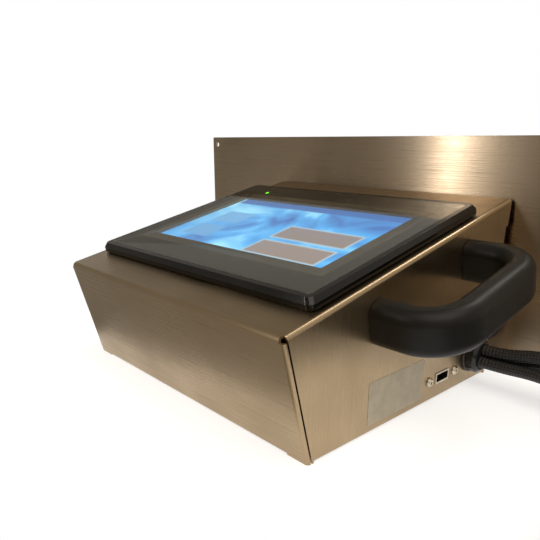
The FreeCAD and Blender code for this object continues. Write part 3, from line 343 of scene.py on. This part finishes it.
cover_steel = ground_stainless("satin_ground_stainless_cover", "#9f8a6c", "#ae997b", side_along="Z",
                               scratches=0.25)
stand_for(softened("cover", CUT_EDGE), "cover", "console", cover_steel)
dress(ground_stainless("mill_finish_stainless", "#857a6a", "#978b79"), "base_plate")

# ---------------------------------------------------------------- fixings of the base
# Zinc-plated steel screws and clinch nuts, and the small screws inside: bright, with turned marks.


def plated_steel(name, dark, light, roughness):
    """Bright plated steel with a faint uneven film."""
    made, tree, shader = finish_named(name, Metallic=1.0)
    film = mottle(tree, 260.0, 2.0)
    tree.links.new(ramp(tree, film, [(0.3, dark), (0.7, light)]), shader.inputs["Base Color"])
    rough = remapped(tree, film, (0.0, 1.0), (roughness - 0.06, roughness + 0.08))
    tree.links.new(rough, shader.inputs["Roughness"])
    return made


bright = plated_steel("zinc_plated_steel", "#b5aa98", "#dcd3c2", 0.24)
dress(bright, "base_screws", "base_nuts", "board_screws", "clamp_screws", "handle_washers", "handle_screws",
      "usb_nuts", "buffer_nuts", "data_socket", "network_socket")

# ---------------------------------------------------------------- operator terminal
# A bought screen unit: a satin black moulded bezel with a soft edge, a clear hard-coated touch film
# over a printed border, a green lamp, and behind the panel a grey-black case held by four clamps.
SLOPE = math.radians(13.2)          # of the top panel
BEZEL_EDGE = 0.0014
FILM_EDGE = 0.0002
RIM_GAIN = 0.0022                   # the face's outline moves out by this much
FACE_LIMITS = (0.088, 0.058)        # only what lies further from the screen's centre moves
FACE_DEPTH = 0.0010                 # and only the face and its film pocket
PRINTED_FACE = (0.0985, 0.0705)     # half width and half height of the brown print under the film
PALE_BORDER = (0.0885, 0.0515)      # and of the paler print next to the display


def moulded(name, colour, paler, roughness, grit, depth, sheen=0.3):
    """Injection-moulded plastic. Its grain has a size and a depth; sheen is its specular level."""
    made, tree, shader = finish_named(name, Roughness=roughness, Specular_IOR_Level=sheen)
    broad = mottle(tree, 28.0, 2.0)
    tree.links.new(ramp(tree, broad, [(0.3, colour), (0.7, paler)]), shader.inputs["Base Color"])
    rough = remapped(tree, broad, (0.3, 0.7), (roughness - 0.05, roughness + 0.05))
    tree.links.new(rough, shader.inputs["Roughness"])
    bumped(tree, shader, mottle(tree, 1 / grit, 2.0), 0.25, depth)
    return made


film_finish, tree, shader = finish_named("hard_coated_touch_film", IOR=1.4)
shader.inputs["Base Color"].default_value = linear("#f2f4f2")
shader.inputs["Transmission Weight"].default_value = 1.0
dust = mottle(tree, 30.0, 3.0)
tree.links.new(remapped(tree, dust, (0.35, 0.7), (0.01, 0.05)), shader.inputs["Roughness"])

low, high = (Vector(corner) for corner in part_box("display_panel"))
screen_centre = (low + high) / 2


def narrower_rim(mesh):
    """Moves the outline of the bezel's face, its film pocket and the film out towards the rim."""
    slope = Matrix.Rotation(SLOPE, 3, "X")
    places = [slope.inverted() @ (vertex.co - screen_centre) for vertex in mesh.vertices]
    top = max(place.z for place in places)
    for vertex, place in zip(mesh.vertices, places):
        if place.z > top - FACE_DEPTH:
            for axis, limit in enumerate(FACE_LIMITS):
                if abs(place[axis]) > limit:
                    place[axis] += math.copysign(RIM_GAIN, place[axis])
            vertex.co = slope @ place + screen_centre


def screen_axes(tree):
    """Place on the screen from its centre: across and up the slope, in metres."""
    flat = Matrix.Rotation(-SLOPE, 3, "X") @ screen_centre
    turned = add(tree, "ShaderNodeMapping", {"Vector": add(tree, "ShaderNodeTexCoord").outputs["Object"]},
                 {"Rotation": (-SLOPE, 0, 0), "Location": -flat})
    split = add(tree, "ShaderNodeSeparateXYZ", {"Vector": turned.outputs[0]})
    return split.outputs["X"], split.outputs["Y"]


def panel_mask(tree, across, up, centre, half, soft=0.0006):
    """1 inside a rectangle of the screen picture, 0 outside, with a soft rim."""
    worst = None
    for axis, middle, reach in ((across, centre[0], half[0]), (up, centre[1], half[1])):
        off = maths(tree, "SUBTRACT", maths(tree, "ABSOLUTE", maths(tree, "SUBTRACT", axis, middle)), reach)
        worst = off if worst is None else maths(tree, "MAXIMUM", worst, off)
    return remapped(tree, worst, (-soft, soft), (1.0, 0.0))


def laid_over(tree, mask, below, colour):
    """One flat colour of the screen picture over what is below it."""
    mix = add(tree, "ShaderNodeMix", {"Factor": mask}, data_type="RGBA")
    tree.links.new(below, mix.inputs[6])
    mix.inputs[7].default_value = linear(colour)
    return mix.outputs[2]


bezel_finish = moulded("satin_black_abs", "#080705", "#0f0d09", 0.16, 0.0008, 0.00001, 0.3)
tree = bezel_finish.node_tree
shader = tree.nodes["Principled BSDF"]
bare = shader.inputs["Base Color"].links[0].from_socket
inked = laid_over(tree, panel_mask(tree, *screen_axes(tree), (0, 0), PRINTED_FACE), bare, "#29241a")
inked = laid_over(tree, panel_mask(tree, *screen_axes(tree), (0, 0), PALE_BORDER), inked, "#575040")
tree.links.new(inked, shader.inputs["Base Color"])
stand_for(softened("terminal_bezel", BEZEL_EDGE, 4, reshape=narrower_rim), "terminal_bezel", "console",
          bezel_finish)
stand_for(softened("touch_film", FILM_EDGE, 1, reshape=narrower_rim), "touch_film", "console",
          film_finish)

# The display shows a plain process page: a blue ground with soft pale drifts, a darker head bar, four
# pale tiles and two brown push areas at the lower right.
display_finish, tree, shader = finish_named("lit_lcd_panel", Roughness=0.3)
across, up = screen_axes(tree)
drift = mottle(tree, 16.0, 3.0, Distortion=1.2)
picture = ramp(tree, drift, [(0.30, "#0f58a6"), (0.48, "#3ea2e4"), (0.68, "#a6ecff")])
for mask_centre, mask_half, colour in (
        ((0.0, 0.0385), (0.0785, 0.0045), "#1f5fa6"),
        ((-0.052, 0.006), (0.014, 0.010), "#5d9fd2"),
        ((-0.052, -0.021), (0.014, 0.010), "#5698cc"),
        ((0.040, -0.004), (0.031, 0.0105), "#9db4c0"),
        ((0.040, -0.004), (0.0295, 0.009), "#7f726e"),
        ((0.040, -0.029), (0.031, 0.0105), "#9fb6c0"),
        ((0.040, -0.029), (0.0295, 0.009), "#84756f")):
    picture = laid_over(tree, panel_mask(tree, across, up, mask_centre, mask_half), picture, colour)
tree.links.new(picture, shader.inputs["Emission Color"])
shader.inputs["Emission Strength"].default_value = 1.7
shader.inputs["Base Color"].default_value = linear("#101418")
dress(display_finish, "display_panel")

lamp_finish, tree, shader = finish_named("green_lamp_lens", Roughness=0.2)
glow = mottle(tree, 400.0, 2.0)
tree.links.new(ramp(tree, glow, [(0.3, "#5fe414"), (0.7, "#86f02c")]), shader.inputs["Emission Color"])
shader.inputs["Emission Strength"].default_value = 2.2
shader.inputs["Base Color"].default_value = linear("#2a7a10")
dress(lamp_finish, "power_lamp")

rubber = moulded("black_nitrile_rubber", "#0d0d0c", "#161615", 0.7, 0.0012, 0.0001)
dress(rubber, "terminal_gasket", "gland_seal", "buffers")
case_plastic = moulded("charcoal_polycarbonate", "#1b1c1d", "#242526", 0.5, 0.0010, 0.0001)
dress(case_plastic, "terminal_case", "terminal_clamps", "data_plug", "network_plug", "usb_lead_plug",
      "usb_housing", "usb_tongue")

# ---------------------------------------------------------------- wiring under the screen
# A green fibreglass board, green screw terminals, and four leads in satin black sheaths.
TRACK_SCALE = 90.0                  # the board's printed tracks

board_finish, tree, shader = finish_named("green_fibreglass_board", Roughness=0.4)
place = add(tree, "ShaderNodeTexCoord").outputs["Object"]
tracks = add(tree, "ShaderNodeTexBrick", {"Vector": place}, {"Scale": TRACK_SCALE, "Mortar Size": 0.03})
tracks.inputs["Color1"].default_value = linear("#0f4a26")
tracks.inputs["Color2"].default_value = linear("#125430")
tracks.inputs["Mortar"].default_value = linear("#2c7a48")
tree.links.new(tracks.outputs["Color"], shader.inputs["Base Color"])
dress(board_finish, "circuit_board")
dress(moulded("green_polyamide", "#1f7a3c", "#2a8c48", 0.45, 0.0010, 0.0001), "power_terminal_block")
dress(moulded("satin_black_pvc", "#171716", "#20201f", 0.42, 0.0016, 0.0001),
      "power_lead", "data_lead", "network_lead", "usb_lead")

# ---------------------------------------------------------------- handle
# A bridge handle of glass-filled nylon, moulded with a soft satin grain, fixed from inside the cover.
HANDLE_EDGE = 0.0008

handle_nylon = moulded("satin_black_nylon", "#0b0905", "#120f09", 0.42, 0.0009, 0.0003, 0.22)
stand_for(softened("handle", HANDLE_EDGE), "handle", "console", handle_nylon)

# ---------------------------------------------------------------- panel socket
# A bright drawn-steel shell with a black tongue and a thin flange on the panel, held by two domed screws.
SCREW_EDGE = 0.0006
FLANGE_RIM = 0.0006                 # flange beyond the shell
SHELL_WALL = 0.0004
FLANGE_HEIGHT = 0.0005

dress(plated_steel("nickel_plated_shell", "#c2bba9", "#e6dfcd", 0.2), "usb_shell")
stand_for(softened("usb_screws", SCREW_EDGE, 3), "usb_screws", "console", bright)

low, high = (Vector(corner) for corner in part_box("usb_shell"))
bpy.ops.mesh.primitive_plane_add(size=1)
flange = bpy.context.object
flange.name = "socket_flange"
middle = Vector((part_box("cover")[1][0], (low.y + high.y) / 2, (low.z + high.z) / 2))
wide = high.y - low.y + 2 * FLANGE_RIM
tall = high.z - low.z + 2 * FLANGE_RIM
flange.data.transform(Matrix.Translation(middle) @ Matrix.Rotation(math.pi / 2, 4, "Y")
                      @ Matrix.Diagonal((tall, wide, 1, 1)))
bpy.ops.object.mode_set(mode="EDIT")
bpy.ops.mesh.select_all(action="SELECT")
bpy.ops.mesh.inset(thickness=FLANGE_RIM + SHELL_WALL)
bpy.ops.mesh.delete(type="FACE")
bpy.ops.object.mode_set(mode="OBJECT")
rim = flange.modifiers.new("rim", "SOLIDIFY")
rim.thickness = FLANGE_HEIGHT
rim.offset = 1
bpy.ops.object.modifier_apply(modifier=rim.name)
flange.data.materials.append(bright)
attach(flange, "console")

# ---------------------------------------------------------------- cable gland
# Black polyamide: a thin rim against the panel and a fluted cap, with the rubber seal inside.
GLAND_EDGE = 0.0003

gland_nylon = moulded("black_polyamide", "#0c0b09", "#141310", 0.26, 0.0010, 0.00004, 0.5)
for node in ("gland_body", "gland_cap"):
    stand_for(softened(node, GLAND_EDGE), node, "console", gland_nylon)
dress(gland_nylon, "gland_locknut")

# ---------------------------------------------------------------- rating plate
# A blank satin polyester label low on the right side, with slightly rounded corners.
LABEL = (0.0510, 0.0250, 0.00018)   # along the panel, high, thick
LABEL_CENTRE = (-0.0149, 0.0175)    # y and z
LABEL_CORNER = 0.0012
LABEL_CREAM = ("#aea28b", "#c0b49d")

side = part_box("cover")[1][0]
bpy.ops.mesh.primitive_plane_add(size=1)
label = bpy.context.object
label.name = "blank_rating_label"
label.data.transform(Matrix.Translation((side, *LABEL_CENTRE)) @ Matrix.Rotation(math.pi / 2, 4, "Y")
                     @ Matrix.Diagonal((LABEL[1], LABEL[0], 1, 1)))
corners = label.modifiers.new("round_corners", "BEVEL")
corners.affect = "VERTICES"
corners.width = LABEL_CORNER
corners.segments = 6
bpy.ops.object.modifier_apply(modifier=corners.name)
film = label.modifiers.new("film", "SOLIDIFY")
film.thickness = LABEL[2]
film.offset = 1
bpy.ops.object.modifier_apply(modifier=film.name)
label_finish, tree, shader = finish_named("satin_polyester_label", Roughness=0.4, Metallic=0.25)
fibre = mottle(tree, 120.0, 3.0)
cream = ramp(tree, fibre, [(0.3, LABEL_CREAM[0]), (0.7, LABEL_CREAM[1])])
tree.links.new(cream, shader.inputs["Base Color"])
bumped(tree, shader, fibre, 0.1, 0.00005)
label.data.materials.append(label_finish)
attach(label, "console")

# ---------------------------------------------------------------- hinge, back plate and buffers
# A rolled steel piano hinge, riveted to a flat 2 mm plate of the same ground stainless as the cover.
LEAF_EDGE = 0.0001
RIVET_EDGE = 0.0004
HINGE_AXIS = Vector((0, 0.097731, 0.112268))
KNUCKLE_EASE = 0.998                # the plate's knuckles turn 5 micrometres clear of the top panel

hinge_steel = plated_steel("rolled_stainless_hinge", "#9a8f7c", "#b8ac97", 0.34)
dress(hinge_steel, "hinge_leaf_cover", "hinge_pin")
leaf = softened("hinge_leaf_plate", LEAF_EDGE)
leaf.data.transform(Matrix.Translation(HINGE_AXIS) @ Matrix.Scale(KNUCKLE_EASE, 4)
                    @ Matrix.Translation(-HINGE_AXIS))
stand_for(leaf, "hinge_leaf_plate", "back_plate", hinge_steel)
stand_for(softened("hinge_rivets", RIVET_EDGE), "hinge_rivets", "back_plate", hinge_steel)
stand_for(softened("back_plate", CUT_EDGE), "back_plate", "back_plate",
          ground_stainless("satin_ground_stainless_plate", "#a18f7a", "#b19f88", scratches=0.2, drawn=0.96))

# ---------------------------------------------------------------- plugs and ties
# Black moulded round connectors with a grip ring, and woven hook-and-loop straps round the coils.
PLUG_EDGE = 0.0004
STRAP_LOOPS = 900.0                 # loops in a metre of strap

plug_finish = moulded("satin_black_polyamide", "#171715", "#21201d", 0.4, 0.0009, 0.0001)
strap_finish, tree, shader = finish_named("woven_hook_and_loop", Roughness=0.85)
place = add(tree, "ShaderNodeTexCoord").outputs["Object"]
loops = add(tree, "ShaderNodeTexVoronoi", {"Vector": place}, {"Scale": STRAP_LOOPS}).outputs["Distance"]
tree.links.new(ramp(tree, loops, [(0.0, "#242322"), (0.6, "#0e0e0d")]), shader.inputs["Base Color"])
bumped(tree, shader, loops, 0.6, 0.0005)
for letter, (route, *_, length) in CABLES.items():
    plug = softened("plug_" + letter, PLUG_EDGE)
    stand_for(plug, "plug_" + letter, "console", plug_finish)
    dress(strap_finish, "tie_" + letter)

# ---------------------------------------------------------------- floor and light
# The console and its cables lie on a sheet of matt white paper, in a dim warm room that is lighter at the
# right, with a wide white sweep behind and below. Soft daylight comes from the front right, a narrow window
# stands far left in front, and a small lamp hangs behind.
SHEET_OUTLINE = ((-0.125, -0.100), (0.095, -0.116), (0.500, -0.180), (0.500, 0.200), (0.050, 0.300),
                 (-0.400, 0.300), (-0.330, 0.020))
PAPER_LIFT = 0.62                   # glow that brings the sheet up to white where it is seen
SWEEP = (-0.733, 0.680, 0.0)        # direction of the white sweep from the console
SWEEP_FADES = (0.80, 0.855)         # cosine of the angle from that direction
SWEEP_TOP = (0.22, 0.30)            # sine of the height at which it ends
ROOM = 0.32                         # brightness of the room beside the sweep
ROOM_TINT = "#fff6e8"               # its warm light
RIGHT = 0.4                         # how much lighter it is at the right
RIGHT_BEGINS = (0.1, 0.5)           # from and to this much to the right
DAYLIGHT = 1.6
DAYLIGHT_FROM = Vector((0.35, -0.35, 1.0))
DAYLIGHT_SPREAD = math.radians(60)

bpy.context.scene.view_settings.view_transform = "Standard"


def seen_directly(tree):
    """1 for what the camera, polished surfaces and clear film see, 0 for light on the object."""
    rays = add(tree, "ShaderNodeLightPath")
    either = rays.outputs["Is Camera Ray"]
    for other in ("Is Glossy Ray", "Is Transmission Ray"):
        either = maths(tree, "MAXIMUM", either, rays.outputs[other])
    return either


paper, tree, shader = finish_named("matt_white_paper", Roughness=0.9)
shader.inputs["Base Color"].default_value = linear("#c4c3c1")
tree.links.new(maths(tree, "MULTIPLY", seen_directly(tree), PAPER_LIFT), shader.inputs["Emission Strength"])
mesh = bpy.data.meshes.new("paper_sheet")
mesh.from_pydata([(x, y, 0.0) for x, y in SHEET_OUTLINE], [], [range(len(SHEET_OUTLINE))])
mesh.materials.append(paper)
sheet = bpy.data.objects.new("paper_sheet", mesh)
bpy.context.scene.collection.objects.link(sheet)

world = bpy.data.worlds.new("dim_room_with_sweep")
bpy.context.scene.world = world
world.use_nodes = True
tree = world.node_tree
tree.nodes.clear()
towards_world = add(tree, "ShaderNodeTexCoord").outputs["Generated"]
parts = add(tree, "ShaderNodeSeparateXYZ", {"Vector": towards_world}).outputs
level_way = add(tree, "ShaderNodeCombineXYZ", {"X": parts["X"], "Y": parts["Y"]}).outputs[0]
level_way = add(tree, "ShaderNodeVectorMath", {0: level_way}, operation="NORMALIZE").outputs[0]
towards = add(tree, "ShaderNodeVectorMath", {0: level_way}, {1: SWEEP},
              operation="DOT_PRODUCT").outputs["Value"]
behind = ramp(tree, towards, [(SWEEP_FADES[0], 0.0), (SWEEP_FADES[1], 1.0)])
low = ramp(tree, parts["Z"], [(SWEEP_TOP[0], 1.0), (SWEEP_TOP[1], 0.0)])
white = maths(tree, "MULTIPLY", behind, low)
room = remapped(tree, parts["X"], RIGHT_BEGINS, (ROOM, ROOM + RIGHT))
level = add(tree, "ShaderNodeMix", {"Factor": white, "A": room}, {"B": 1.0}, data_type="FLOAT").outputs[0]
tint = add(tree, "ShaderNodeMix", {"Factor": white}, data_type="RGBA")
tint.inputs[6].default_value = linear(ROOM_TINT)
tint.inputs[7].default_value = (1, 1, 1, 1)
background = add(tree, "ShaderNodeBackground", {"Strength": level, "Color": tint.outputs[2]})
add(tree, "ShaderNodeOutputWorld", {"Surface": background.outputs[0]})


def lamp(name, place, target, width, height, watts, colour):
    """A soft rectangular lamp that points at a place on the console."""
    light = bpy.data.lights.new(name, "AREA")
    light.shape = "RECTANGLE"
    light.size, light.size_y = width, height
    light.energy = watts
    light.color = linear(colour)[:3]
    made = bpy.data.objects.new(name, light)
    bpy.context.scene.collection.objects.link(made)
    made.location = place
    made.rotation_euler = (Vector(target) - Vector(place)).to_track_quat("-Z", "Y").to_euler()


lamp("narrow_window", (-0.762, -1.275, 0.60), (0.08, 0.1, 0.12), 0.04, 1.0, 4.4, "#fffaf4")
lamp("rear_lamp", (0.18, 1.20, 1.45), (0.1, 0, 0.1), 0.22, 1.1, 9, "#fffaf2")
sky = bpy.data.objects.new("sky_light", bpy.data.lights.new("sky_light", "SUN"))
bpy.context.scene.collection.objects.link(sky)
sky.data.energy = DAYLIGHT
sky.data.angle = DAYLIGHT_SPREAD
sky.data.color = linear("#fffaf4")[:3]
sky.rotation_euler = (-DAYLIGHT_FROM).to_track_quat("-Z", "Y").to_euler()
